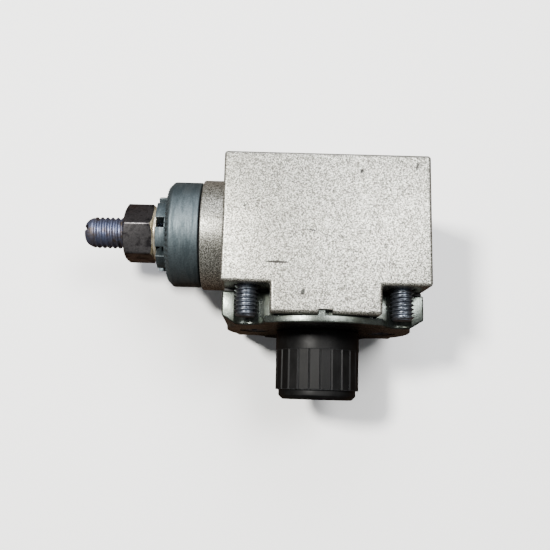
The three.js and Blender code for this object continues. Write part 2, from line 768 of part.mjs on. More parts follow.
function makeSelectorHub() {
  const ringFloor = hubNeckRadius - hubRingGroove;
  const ringEnd = hubRingDrop + hubRingThickness;
  const sealFloor = hubNeckRadius - oRingWire;
  const core = hubRadius - hubGrooveDepth - 0.1;
  const stopFrom = stopRingDrop - running;
  const stopTo = stopRingDrop + stopRingThickness + running;
  const outline = [
    [hubBore, hubNeckTopDrop], [hubNeckRadius, hubNeckTopDrop],
    [hubNeckRadius, hubRingDrop - running], [ringFloor, hubRingDrop - running],
    [ringFloor, ringEnd + running], [hubNeckRadius, ringEnd + running],
    [hubNeckRadius, oRingDrop - oRingWire / 2 - seat], [sealFloor, oRingDrop - oRingWire / 2 - seat],
    [sealFloor, oRingDrop + oRingWire / 2 + seat], [hubNeckRadius, oRingDrop + oRingWire / 2 + seat],
    [hubNeckRadius, hubShoulderDrop], [hubRadius - 0.2, hubShoulderDrop],
    [hubRadius, hubShoulderDrop + 0.2], [hubRadius, hubRibsFrom], [core, hubRibsFrom],
    [core, hubRibsTo], [hubEndRadius, hubRibsTo], [hubEndRadius, hubEndDrop - hubEndChamfer],
    [hubEndRadius - hubEndChamfer, hubEndDrop], [plungerStem + 2 * running, hubEndDrop],
    [plungerStem + 2 * running, hubChamberDrop], [hubBore, hubChamberDrop], [hubBore, stopTo],
    [hubBore + 0.45, stopTo], [hubBore + 0.45, stopFrom], [hubBore, stopFrom],
  ];
  const ribs = new THREE.Shape(ribOutline());
  ribs.holes.push(new THREE.Path().absarc(0, 0, core - 0.4, 0, 2 * Math.PI, false));
  const length = hubRibsTo - hubRibsFrom;
  const sleeve = new THREE.ExtrudeGeometry(ribs, {
    depth: length, bevelEnabled: false, curveSegments: 12,
  });
  sleeve.rotateX(Math.PI / 2).translate(0, -hubRibsFrom, axisHeight);
  const [key, inner] = [hubKeyWidth / 2, hubBore - hubKeyHeight];
  const keyTop = plungerHeadDrop + seat;
  return geometryOf(join(
    aboutPlunger(outline, 48), sleeve,
    block(-key, key, keyTop, hubChamberDrop + 0.2, inner, hubBore + 0.3),
    block(-key, key, keyTop, hubChamberDrop + 0.2, -hubBore - 0.3, -inner),
  ));
}

function makeHubRetainingRing() {
  const inner = hubNeckRadius - hubRingGroove + running;
  return plungerSector(inner, hubRingRadius, 60, 395, hubRingDrop, hubRingDrop + hubRingThickness);
}

function makeHubORing() {
  const torus = new THREE.TorusGeometry(hubNeckRadius - oRingWire / 2 + running, 0.36, 8, 32);
  return torus.rotateX(Math.PI / 2).translate(0, -oRingDrop, axisHeight);
}

function makePlungerStopRing() {
  const inner = crownOuter + 2 * running;
  const end = stopRingDrop + stopRingThickness;
  return plungerSector(inner, stopRingRadius, 255, 285 + 300, stopRingDrop, end);
}

// A thin ring bent into three waves.
function makeWaveWasher() {
  const inner = hubNeckRadius + 0.25;
  const half = waveWasherThickness / 2;
  const ring = revolve([
    [inner, -half], [waveWasherRadius, -half], [waveWasherRadius, half], [inner, half],
  ], 48);
  const position = ring.attributes.position;
  for (let i = 0; i < position.count; i += 1) {
    const around = Math.atan2(position.getX(i), position.getZ(i));
    position.setY(i, position.getY(i) + waveHeight * Math.cos(3 * around));
  }
  return ring.translate(0, -waveWasherDrop, axisHeight);
}

// ---------------------------------------------------------------- plunger
// Its crown has three raised sectors and one gap, so that turning the hub brings a sector under
// both followers or under one of them.
function makePlunger() {
  const headEnd = plungerHeadDrop + plungerHead;
  const outline = [
    [0, plungerHeadDrop], [plungerHeadRadius, plungerHeadDrop], [plungerHeadRadius, headEnd],
    [plungerStem, headEnd], [plungerStem, plungerTipDrop - 0.5],
    [plungerStem - 0.5, plungerTipDrop], [0, plungerTipDrop],
  ];
  const half = crownSector / 2;
  const sectors = [0, 90, 180].map((middle) => plungerSector(
    crownInner, crownOuter, middle - half, middle + half, crownDrop, plungerHeadDrop + 0.2,
  ));
  const key = hubKeyWidth / 2 + seat;
  const inner = hubBore - hubKeyHeight - seat;
  return geometryOf(cut(
    join(aboutPlunger(outline, 40), ...sectors),
    block(-key, key, crownDrop - 1, headEnd + 1, inner, hubBore + 1),
    block(-key, key, crownDrop - 1, headEnd + 1, -hubBore - 1, -inner),
  ));
}

function makePlungerSpring() {
  const top = plungerHeadDrop + plungerHead + running;
  const bottom = hubChamberDrop - running;
  return coil(plungerSpringRadius, plungerSpringWire, plungerSpringTurns, top, bottom);
}

// ---------------------------------------------------------------- finishes
function finish(color, roughness, metalness) {
  return () => new THREE.MeshStandardMaterial({ color, roughness, metalness });
}

const paintedCasting = finish(0xc8c7bd, 0.6, 0.3);
const rawCasting = finish(0x8f9488, 0.5, 0.7);
const zincSteel = finish(0x9aa3ad, 0.35, 0.9);
const zincDisc = finish(0x84909a, 0.5, 0.7);
const darkSteel = finish(0x5b5653, 0.4, 0.9);
const brightSteel = finish(0xb9b6a6, 0.3, 0.9);
const springSteel = finish(0x6f7377, 0.35, 0.9);
const bronze = finish(0xa9793f, 0.5, 0.8);
const blackPlastic = finish(0x17181a, 0.45, 0);
const naturalPlastic = finish(0xd9d3c2, 0.5, 0);
const rubber = finish(0x1c1c1c, 0.8, 0);

// ---------------------------------------------------------------- assembly
const head = new THREE.Group();

function add(name, geometry, material) {
  const mesh = new THREE.Mesh(geometry, material());
  mesh.name = name;
  head.add(mesh);
}

add('housing', makeHousing(), paintedCasting);
add('bottom_plate', makeBottomPlate(), rawCasting);
add('cover_gasket', makeCoverGasket(), rubber);
[-1, 1].forEach((side, i) => add(`plate_screw_${i + 1}`, makePlateScrew(side), zincSteel));
corners.forEach((corner, i) => {
  add(`captive_screw_${i + 1}`, makeCaptiveScrew(corner), zincSteel);
  add(`captive_washer_${i + 1}`, makeCaptiveWasher(corner), springSteel);
});
add('shaft', makeShaft(), zincSteel);
add('shaft_bush', makeShaftBush(), bronze);
add('end_bush', makeEndBush(), bronze);
add('shaft_seal', makeShaftSeal(), rubber);
add('thrust_washer', makeThrustWasher(), brightSteel);
add('shaft_circlip', makeShaftCirclip(), springSteel);
add('cam_clip', makeCamClip(), springSteel);
add('cam_forward', makeCam(1), darkSteel);
add('cam_reverse', makeCam(-1), darkSteel);
add('cam_spacer', makeCamSpacer(), brightSteel);
add('serrated_disc', makeSerratedDisc(), zincDisc);
add('lever_washer', makeLeverWasher(), zincDisc);
add('nut_washer', makeNutWasher(), brightSteel);
add('hex_nut', makeHexNut(), darkSteel);
add('follower_forward', makeFollower(1), naturalPlastic);
add('follower_reverse', makeFollower(-1), naturalPlastic);
add('follower_spring_forward', makeFollowerSpring(1), springSteel);
add('follower_spring_reverse', makeFollowerSpring(-1), springSteel);
add('follower_guide', makeFollowerGuide(), blackPlastic);
add('selector_hub', makeSelectorHub(), blackPlastic);
add('hub_retaining_ring', makeHubRetainingRing(), springSteel);
add('hub_o_ring', makeHubORing(), rubber);
add('wave_washer', makeWaveWasher(), springSteel);
add('plunger', makePlunger(), naturalPlastic);
add('plunger_stop_ring', makePlungerStopRing(), springSteel);
add('plunger_spring', makePlungerSpring(), springSteel);

export default head;
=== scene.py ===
import json
import math
from types import SimpleNamespace

import bmesh
import bpy
from mathutils import Matrix, Vector


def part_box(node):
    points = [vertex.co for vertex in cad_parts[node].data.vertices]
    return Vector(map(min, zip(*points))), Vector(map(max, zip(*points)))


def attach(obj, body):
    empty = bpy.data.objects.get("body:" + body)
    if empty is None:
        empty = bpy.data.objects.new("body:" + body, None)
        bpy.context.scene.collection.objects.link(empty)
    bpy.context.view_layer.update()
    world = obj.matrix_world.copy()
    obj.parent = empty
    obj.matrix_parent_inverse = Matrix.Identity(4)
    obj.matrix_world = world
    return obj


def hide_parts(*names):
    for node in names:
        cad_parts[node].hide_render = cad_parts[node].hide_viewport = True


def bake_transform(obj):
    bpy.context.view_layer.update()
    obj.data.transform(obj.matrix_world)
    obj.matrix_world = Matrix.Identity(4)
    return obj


bl_info = {
    "name": "Limit Switch Rotary Head",
    "version": (1, 0, 0),
    "blender": (4, 5, 0),
    "location": "3D View > Sidebar > Switch Head",
    "description": "Builds the visible pieces and finishes of a limit switch's rotary head",
    "category": "Object",
}

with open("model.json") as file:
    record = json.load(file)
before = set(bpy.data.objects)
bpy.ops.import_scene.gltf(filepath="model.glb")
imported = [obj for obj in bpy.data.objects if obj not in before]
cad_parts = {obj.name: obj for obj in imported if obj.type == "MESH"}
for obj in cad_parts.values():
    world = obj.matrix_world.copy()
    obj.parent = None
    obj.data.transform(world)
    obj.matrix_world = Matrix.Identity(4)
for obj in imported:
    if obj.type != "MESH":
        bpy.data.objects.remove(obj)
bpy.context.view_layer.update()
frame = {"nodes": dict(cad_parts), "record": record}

MM = 0.001
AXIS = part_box("housing")[1].z / 2 / MM  # height of both axes above the back face, mm
CORNERS = ((-1, 1), (1, 1), (-1, -1), (1, -1))
FULL = 2 * math.pi


# ------------------------------------------------------------------ sizes and colours
def length(name, size_mm, description):
    """A length property whose default is given in millimetres."""
    return bpy.props.FloatProperty(
        name=name, description=description, default=size_mm * MM, unit="LENGTH", precision=5
    )


def count(name, default, description):
    return bpy.props.IntProperty(name=name, description=description, default=default, min=3)


def degrees(name, default, description):
    return bpy.props.FloatProperty(name=name, description=description, default=default)


def tint(name, default, description):
    """A colour kept as sRGB hex text."""
    return bpy.props.StringProperty(name=name, description=description, default=default)


class HousingSizes(bpy.types.PropertyGroup):
    width: length("Width", 35, "Side of the square body along the shaft")
    depth: length("Depth", 35, "Thickness of the body, front face to back face")
    top_rise: length("Top rise", 10.75, "Top face above the shaft axis")
    ceiling_drop: length("Notch ceiling", 11.75, "Ceiling of the corner notches below the shaft axis")
    skirt_drop: length("Skirt drop", 16.7, "Bottom of the skirts below the shaft axis")
    notch_width: length("Notch width", 8.3, "Corner notch along the shaft")
    notch_depth: length("Notch depth", 6.9, "Corner notch, front to back")
    edge_radius: length("Edge radius", 0.58, "Rounding of the cast edges")
    wall: length("Wall", 2.2, "Thickness of the cast walls")
    neck_radius: length("Neck radius", 10.5, "Radius of the bearing neck")
    neck_out: length("Neck end", 22.05, "End of the neck from the plunger axis")
    counterbore: length("Counterbore", 3.45, "Radius of the screw heads' counterbores")
    seat_drop: length("Screw seat", 1.95, "Floor of the counterbores below the shaft axis")


class PlateSizes(bpy.types.PropertyGroup):
    drop: length("Underside", 18.05, "Underside of the plate below the shaft axis")
    rim_radius: length("Rim radius", 16.98, "Radius of the round flange under the skirts")
    top_drop: length("Plate top", 15.2, "Inner face of the plate below the shaft axis")
    lug_top: length("Lug top", 12.3, "Top of the side lugs below the shaft axis")
    lug_drop: length("Lug end", 16.6, "Where the lugs' outer faces begin to slope inwards")
    lug_half: length("Lug half width", 17.45, "Outer faces of the lugs from the plunger axis")
    lug_depth: length("Lug half depth", 10.6, "Half the lugs' width, front to back")
    groove: length("Screw groove", 3.3, "Radius of the grooves round the screws")
    bore: length("Bore", 6.6, "Radius of the hub's bore")


class ScrewSizes(bpy.types.PropertyGroup):
    pitch_x: length("Spacing along the shaft", 26.4, "Screw spacing along the shaft")
    pitch_z: length("Spacing front to back", 26.2, "Screw spacing, front to back")
    radius: length("Thread radius", 2, "Half the thread's outside diameter")
    thread_pitch: length("Thread pitch", 0.7, "Rise of the thread in one turn")
    head_drop: length("Head seat", 1.05, "Underside of the head below the shaft axis")
    head_radius: length("Head radius", 3.2, "Radius of the head")
    head_height: length("Head height", 2.6, "Height of the head")
    tip_drop: length("Tip", 17.05, "Tip below the shaft axis")


class ShaftSizes(bpy.types.PropertyGroup):
    stud_radius: length("Stud radius", 3, "Half the stud thread's outside diameter")
    thread_pitch: length("Thread pitch", 1, "Rise of the stud's thread in one turn")
    stud_tip: length("Stud tip", 44.78, "End of the stud from the plunger axis")
    tip_radius: length("Tip radius", 2.1, "Radius of the stud's rounded end")
    slot_width: length("Slot width", 1, "Width of the screwdriver slot")
    slot_depth: length("Slot depth", 0.9, "Depth of the screwdriver slot")
    slot_turn: degrees("Slot turn", 12, "Turn of the slot from the front, degrees")
    disc_radius: length("Disc radius", 10.05, "Radius of the serrated disc")
    disc_back: length("Disc back", 22.35, "Back of the disc from the plunger axis")
    disc_face: length("Disc face", 28.5, "Toothed face of the disc from the plunger axis")
    teeth: count("Disc teeth", 60, "Radial teeth on the disc's face")
    castellations: count("Castellations", 8, "Raised blocks on the lever washer")
    castellation_gap: degrees("Castellation gap", 16, "Gap between raised blocks, degrees")
    castellation_turn: degrees("Castellation turn", 5, "Turn of the first gap, degrees")
    washer_radius: length("Lever washer radius", 7.1, "Radius of the castellated washer")
    nut_flats: length("Nut across flats", 10, "Distance between the nut's opposite flats")
    nut_out: length("Nut start", 31.25, "Inner face of the nut from the plunger axis")
    nut_length: length("Nut length", 5.6, "Length of the nut")
    nut_turn: degrees("Nut turn", 6.5, "Turn of the nut's first corner, degrees")


class HubSizes(bpy.types.PropertyGroup):
    radius: length("Radius", 7.7, "Radius of the hub over its ribs")
    shoulder_drop: length("Shoulder", 18.2, "Shoulder under the plate, below the shaft axis")
    ribs_from: length("Ribs begin", 21.6, "Start of the ribbed band below the shaft axis")
    ribs_to: length("Ribs end", 28.8, "End of the ribbed band below the shaft axis")
    end_drop: length("End", 30.55, "End of the hub below the shaft axis")
    end_radius: length("End radius", 7.1, "Radius of the plain end")
    ribs: count("Ribs", 24, "Flat ribs round the hub")


class SpringSizes(bpy.types.PropertyGroup):
    follower_place: length("Follower spring place", 3.2, "Follower springs from the plunger axis")
    follower_radius: length("Follower spring radius", 1.85, "Middle of the wire to the axis")
    follower_wire: length("Follower spring wire", 0.38, "Wire diameter")
    follower_turns: count("Follower spring turns", 4, "Turns, both ends included")
    follower_top: length("Follower spring top", 7.42, "Under the follower's plate")
    follower_bottom: length("Follower spring bottom", 12.22, "On the guide's floor")
    plunger_radius: length("Plunger spring radius", 3.69, "Middle of the wire to the axis")
    plunger_wire: length("Plunger spring wire", 0.48, "Wire diameter")
    plunger_turns: count("Plunger spring turns", 3, "Turns, both ends included")
    plunger_top: length("Plunger spring top", 23.02, "Under the plunger's head")
    plunger_bottom: length("Plunger spring bottom", 27.93, "On the hub's floor")


class FinishColours(bpy.types.PropertyGroup):
    paint_light: tint("Paint", "#8A8981", "Silver-beige powder coat")
    paint_fleck: tint("Paint fleck", "#4D4C46", "Darker grains of the powder coat")
    paint_spark: tint("Paint spark", "#D6D5CB", "Brightest grains of the powder coat")
    mark: tint("Mark", "#232221", "Scratches and chips")
    # Painted shade: dull grey laid over the rounded cast edges in place of the shade they fall into.
    painted_edge_shade: tint("Bare edge", "#3B3833", "Dull metal where the coat is thin over an edge")
    casting: tint("Casting", "#5F6560", "Raw zinc die casting")
    casting_fleck: tint("Casting fleck", "#4B4F48", "Dark specks of the raw casting")
    zinc: tint("Blue zinc", "#7F858E", "Blue-passivated zinc plate")
    zinc_dark: tint("Blue zinc, dull", "#3E4149", "The same where it has dulled")
    disc: tint("Matte zinc", "#5A6468", "Matte zinc plate")
    disc_dark: tint("Matte zinc, dull", "#404A4E", "The same where it has dulled")
    nut: tint("Oiled steel", "#7A7778", "Dark oiled steel")
    nut_edge: tint("Worn edge", "#B7AA90", "Bare steel at worn edges")
    hub: tint("Black polyamide", "#090909", "Moulded black plastic")
    hub_edge: tint("Scuffed polyamide", "#4A4B4E", "Black plastic where it is scuffed")
    floor: tint("Floor", "#FEFEFD", "The studio floor")


def millimetres(group):
    """The group's lengths as plain numbers in millimetres, with counts and angles as they are."""
    values = {}
    for key in type(group).__annotations__:
        value = getattr(group, key)
        values[key] = value / MM if group.bl_rna.properties[key].unit == "LENGTH" else value
    return SimpleNamespace(**values)


def linear(text):
    """Scene-linear RGBA of an sRGB hex colour."""
    channels = [int(text[i:i + 2], 16) / 255 for i in (1, 3, 5)]
    return [c / 12.92 if c <= 0.04045 else ((c + 0.055) / 1.055) ** 2.4 for c in channels] + [1]


# ------------------------------------------------------------------ mesh tools
# A turned piece's own axes are two across and one along. On the shaft they are +Z, +Y and -X;
# down the plunger they are +X, +Z and -Y.
SHAFT = Matrix(((0, 0, -1, 0), (0, 1, 0, 0), (1, 0, 0, AXIS), (0, 0, 0, 1)))


def plunger_axis(x=0, z=0):
    return Matrix(((1, 0, 0, x), (0, 0, -1, 0), (0, 1, 0, AXIS + z), (0, 0, 0, 1)))


def make_object(name, bm, place=Matrix.Identity(4)):
    """A Blender object from a mesh drawn in millimetres."""
    bm.transform(Matrix.Scale(MM, 4) @ place)
    bmesh.ops.recalc_face_normals(bm, faces=bm.faces)
    mesh = bpy.data.meshes.new(name)
    bm.to_mesh(mesh)
    bm.free()
    made = bpy.data.objects.new(name, mesh)
    bpy.context.scene.collection.objects.link(made)
    return made


def eased(outline, radius, closed=False, steps=4):
    """The outline with its corners rounded. An open outline keeps its two ends."""
    result = []
    total = len(outline)
    for i, (r, d) in enumerate(outline):
        if not closed and i in (0, total - 1):
            result.append((r, d))
            continue
        here = Vector((r, d))
        before = Vector(outline[i - 1])
        after = Vector(outline[(i + 1) % total])
        cut_in = min(radius, (before - here).length / 2.05)
        cut_out = min(radius, (after - here).length / 2.05)
        a = here + (before - here).normalized() * cut_in
        b = here + (after - here).normalized() * cut_out
        for step in range(steps + 1):
            t = step / steps
            point = a * (1 - t) ** 2 + here * (2 * t * (1 - t)) + b * t ** 2
            result.append((point.x, point.y))
    return result


def turned(name, outline, place, segments=128, ripple=None, closed=False):
    """A solid of revolution. The outline lists radius and distance along the axis, and ripple
    moves single points by their angle, for threads, teeth and ribs."""
    bm = bmesh.new()
    rings = []
    for r, d in outline:
        if r < 1e-6:
            rings.append([bm.verts.new((0, 0, d))])
            continue
        ring = []
        for i in range(segments):
            a = FULL * i / segments
            rr, dd = ripple(r, d, a) if ripple else (r, d)
            ring.append(bm.verts.new((rr * math.cos(a), rr * math.sin(a), dd)))
        rings.append(ring)
    pairs = list(zip(rings, rings[1:]))
    if closed:
        pairs.append((rings[-1], rings[0]))
    for low, high in pairs:
        for i in range(segments):
            j = (i + 1) % segments
            corners = [low[i % len(low)], low[j % len(low)], high[j % len(high)], high[i % len(high)]]
            unique = list(dict.fromkeys(corners))
            if len(unique) > 2:
                bm.faces.new(unique)
    return make_object(name, bm, place)


def coil(name, radius, wire, turns, top, bottom, place):
    """A round-wire coil, flattened at both ends by its outermost half turns."""
    bm = bmesh.new()
    rings = []
    steps, sides = turns * 32, 10
    for i in range(steps + 1):
        a = FULL * turns * i / steps
        along = min(1, max(0, (i / steps - 0.5 / turns) / (1 - 1 / turns)))
        d = top + wire / 2 + (bottom - top - wire) * along
        ring = []
        for k in range(sides):
            b = FULL * k / sides
            r = radius + wire / 2 * math.cos(b)
            ring.append(bm.verts.new((r * math.cos(a), r * math.sin(a), d + wire / 2 * math.sin(b))))
        rings.append(ring)
    for low, high in zip(rings, rings[1:]):
        for k in range(sides):
            j = (k + 1) % sides
            bm.faces.new((low[k], low[j], high[j], high[k]))
    bm.faces.new(rings[0])
    bm.faces.new(rings[-1])
    return make_object(name, bm, place)


def block(name, x, y, z):
    """A box between limits in millimetres; z is measured from the shaft axis."""
    bm = bmesh.new()
    bmesh.ops.create_cube(bm, size=1)
    size = Vector((x[1] - x[0], y[1] - y[0], z[1] - z[0]))
    middle = Vector((sum(x) / 2, sum(y) / 2, sum(z) / 2 + AXIS))
    bm.transform(Matrix.Translation(middle) @ Matrix.Diagonal(size).to_4x4())
    return make_object(name, bm)


def placed_cube(name, place):
    """A cube of 1 mm, stretched, turned and put in place by one matrix."""
    bm = bmesh.new()
    bmesh.ops.create_cube(bm, size=1)
    return make_object(name, bm, place)


def prism(name, points, start, height, place=Matrix.Identity(4)):
    """A flat outline at one distance along its own axis, drawn out from there."""
    bm = bmesh.new()
    face = bm.faces.new([bm.verts.new((x, y, start)) for x, y in points])
    drawn = bmesh.ops.extrude_face_region(bm, geom=[face])["geom"]
    tops = [v for v in drawn if isinstance(v, bmesh.types.BMVert)]
    bmesh.ops.translate(bm, verts=tops, vec=(0, 0, height))
    return make_object(name, bm, place)


def on_circle(radius, angle):
    return radius * math.cos(angle), radius * math.sin(angle)


def settle(piece):
    """Applies the piece's modifiers."""
    graph = bpy.context.evaluated_depsgraph_get()
    graph.update()
    mesh = bpy.data.meshes.new_from_object(piece.evaluated_get(graph))
    piece.modifiers.clear()
    old = piece.data
    piece.data = mesh
    bpy.data.meshes.remove(old)
    mesh.name = piece.name
    return piece


def combine(piece, others, operation):
    """Cuts other solids away from the piece, adds them to it or keeps what they share."""
    for other in others:
        change = piece.modifiers.new("combine", "BOOLEAN")
        change.operation = operation
        change.solver = "EXACT"
        change.object = other
        settle(piece)
        mesh = other.data
        bpy.data.objects.remove(other)
        bpy.data.meshes.remove(mesh)
    return piece


def rounded(piece, radius, segments=3, angle=35):
    """Rounds the piece's sharp edges."""
    change = piece.modifiers.new("rounded", "BEVEL")
    change.width = radius * MM
    change.segments = segments
    change.limit_method = "ANGLE"
    change.angle_limit = math.radians(angle)
    change.use_clamp_overlap = True
    return settle(piece)


def finished(piece, material, node, body, angle=32):
    """Shades the piece, gives it its finish and puts it in the place of its CAD node."""
    piece.data.materials.clear()
    piece.data.materials.append(material)
    piece.data.shade_smooth()
    piece.data.set_sharp_from_angle(angle=math.radians(angle))
    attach(piece, body)
    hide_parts(node)
    return piece


def thread_depth(distance, angle, pitch, depth):
    """How far a right-hand thread's groove cuts in at this place."""
    phase = (distance / pitch - angle / FULL) % 1
    flank = abs(2 * phase - 1)
    return depth * min(1, max(0, (flank - 0.14) / 0.62))


# ------------------------------------------------------------------ material tools
def add(tree, kind, inputs=None, stops=None, **settings):
    """Adds one node with its settings, its colour stops, and its values or links."""
    new = tree.nodes.new(kind)
    for key, value in settings.items():
        setattr(new, key, value)
    if stops:
        elements = new.color_ramp.elements
        while len(elements) < len(stops):
            elements.new(0.5)
        for element, (position, colour) in zip(elements, stops):
            element.position = position
            element.color = linear(colour) if isinstance(colour, str) else (colour,) * 3 + (1,)
    for socket, value in (inputs or {}).items():
        if isinstance(value, bpy.types.NodeSocket):
            tree.links.new(value, new.inputs[socket])
        else:
            new.inputs[socket].default_value = value
    return new


def per_metre(size_mm):
    """Texture scale that repeats a pattern every so many millimetres."""
    return 1 / (size_mm * MM)


def new_material(name):
    material = bpy.data.materials.new(name)
    material.use_nodes = True
    material.node_tree.nodes.clear()
    return material, material.node_tree


def finish_with(tree, shader):
    add(tree, "ShaderNodeOutputMaterial", {"Surface": shader.outputs[0]})


def edge_wear_and_shade(tree, soft, start, end, most):
    """How strongly each edge is marked, as wear on the plated finishes and as painted shade on the
    powder coat:
    nothing on the flats, most where the rounded normal turns away from the true one at an edge."""
    true_normal = add(tree, "ShaderNodeNewGeometry").outputs["Normal"]
    match = add(tree, "ShaderNodeVectorMath", {0: soft.outputs[0], 1: true_normal},
                operation="DOT_PRODUCT")
    return add(tree, "ShaderNodeMapRange", {
        "Value": match.outputs["Value"], "From Min": start, "From Max": end,
        "To Min": 0.0, "To Max": most}).outputs[0]


def powder_coat(colours):
    """Powder coat on a zinc die casting: a satin metallic paint that dries into grains, which
    give the eye a sandy sparkle of light and dark flecks over a very fine orange peel."""
    material, tree = new_material("powder_coated_zinc_casting")
    place = add(tree, "ShaderNodeTexCoord").outputs["Object"]
    # The grains are 0.13 to 0.18 mm across.
    grain = add(tree, "ShaderNodeTexNoise", {
        "Vector": place, "Scale": per_metre(0.18), "Detail": 1.0, "Roughness": 0.5})
    fleck = add(tree, "ShaderNodeTexNoise", {
        "Vector": place, "Scale": per_metre(0.13), "Detail": 1.0, "Roughness": 0.5})
    cloud = add(tree, "ShaderNodeTexNoise", {
        "Vector": place, "Scale": per_metre(7), "Detail": 3.0, "Roughness": 0.6})
    speckle = add(tree, "ShaderNodeValToRGB", {"Fac": grain.outputs["Fac"]}, stops=[
        (0.36, colours.paint_fleck), (0.5, colours.paint_light), (0.66, colours.paint_spark)])
    dark = add(tree, "ShaderNodeValToRGB", {"Fac": fleck.outputs["Fac"]}, stops=[
        (0.4, 0.5), (0.52, 1.0)])
    shade = add(tree, "ShaderNodeValToRGB", {"Fac": cloud.outputs["Fac"]}, stops=[
        (0.3, 0.9), (0.7, 1.0)])
    flecked = add(tree, "ShaderNodeMix", {
        0: 0.8, 6: speckle.outputs["Color"], 7: dark.outputs["Color"]},
        data_type="RGBA", blend_type="MULTIPLY")
    clouded = add(tree, "ShaderNodeMix", {
        0: 1.0, 6: flecked.outputs[2], 7: shade.outputs["Color"]},
        data_type="RGBA", blend_type="MULTIPLY")
    worn = clouded.outputs[2]
    # Handling marks on the front face: one long scratch, and chips down to the grey metal.
    marks = [
        ((-10.3, -8.32), (-6.2, -8.4), 0.2, 1.0), ((-2.9, -2.75), (-1.9, -2.9), 0.15, 0.9),
        ((-3.95, -13.5), (-3.75, -13.0), 0.34, 0.95), ((5.66, 7.5), (5.78, 7.75), 0.3, 0.95),
        ((14.95, 8.2), (15.2, 9.3), 0.26, 0.75), ((12.5, 4.2), (13.4, 4.9), 0.11, 0.7),
        ((-13.9, 1.0), (-13.6, 1.25), 0.17, 0.8), ((9.6, -5.0), (9.8, -5.6), 0.14, 0.7),
    ]
    split = add(tree, "ShaderNodeSeparateXYZ", {"Vector": place})
    for start, end, half, strength in marks:
        a, b = Vector(start) * MM, Vector(end) * MM
        along = (b - a).normalized()
        # Distance to the mark's middle, squeezed along the mark until it is as short as wide.
        spread = half * MM / ((b - a).length / 2 + half * MM)
        middle = (a + b) / 2
        across = add(tree, "ShaderNodeVectorMath", {0: place, 1: (middle.x, middle.y, 2 * AXIS * MM)},
                     operation="SUBTRACT").outputs[0]
        u = add(tree, "ShaderNodeVectorMath", {0: across, 1: (along.x * spread, along.y * spread, 0)},
                operation="DOT_PRODUCT").outputs["Value"]
        v = add(tree, "ShaderNodeVectorMath", {0: across, 1: (-along.y, along.x, 0)},
                operation="DOT_PRODUCT").outputs["Value"]
        both = add(tree, "ShaderNodeCombineXYZ", {"X": u, "Y": v})
        away = add(tree, "ShaderNodeVectorMath", {0: both.outputs[0]}, operation="LENGTH")
        mask = add(tree, "ShaderNodeMapRange", {
            "Value": away.outputs["Value"], "From Min": half * MM * 1.1, "From Max": half * MM * 0.75,
            "To Min": 0.0, "To Max": strength})
        front = add(tree, "ShaderNodeMath", {0: split.outputs["Z"], 1: 1.9 * AXIS * MM},
                    operation="GREATER_THAN")
        masked = add(tree, "ShaderNodeMath", {0: mask.outputs[0], 1: front.outputs[0]},
                     operation="MULTIPLY")
        worn = add(tree, "ShaderNodeMix", {
            0: masked.outputs[0], 6: worn, 7: linear(colours.mark)}, data_type="RGBA").outputs[2]
    # Painted shade: the rounded cast edges are darkened towards a dull grey, in place of the shade
    # that falls on them.
    soft = add(tree, "ShaderNodeBevel", {"Radius": 0.45 * MM}, samples=8)
    worn = add(tree, "ShaderNodeMix", {
        0: edge_wear_and_shade(tree, soft, 0.995, 0.93, 0.6), 6: worn, 7: linear(colours.painted_edge_shade)},
        data_type="RGBA").outputs[2]
    gloss = add(tree, "ShaderNodeMapRange", {
        "Value": grain.outputs["Fac"], "From Min": 0.3, "From Max": 0.7,
        "To Min": 0.46, "To Max": 0.33})
    bump = add(tree, "ShaderNodeBump", {
        "Height": grain.outputs["Fac"], "Strength": 0.55, "Distance": 0.05 * MM})
    finish_with(tree, add(tree, "ShaderNodeBsdfPrincipled", {
        "Base Color": worn, "Metallic": 0.82, "Roughness": gloss.outputs[0],
        "Normal": bump.outputs[0]}))
    return material


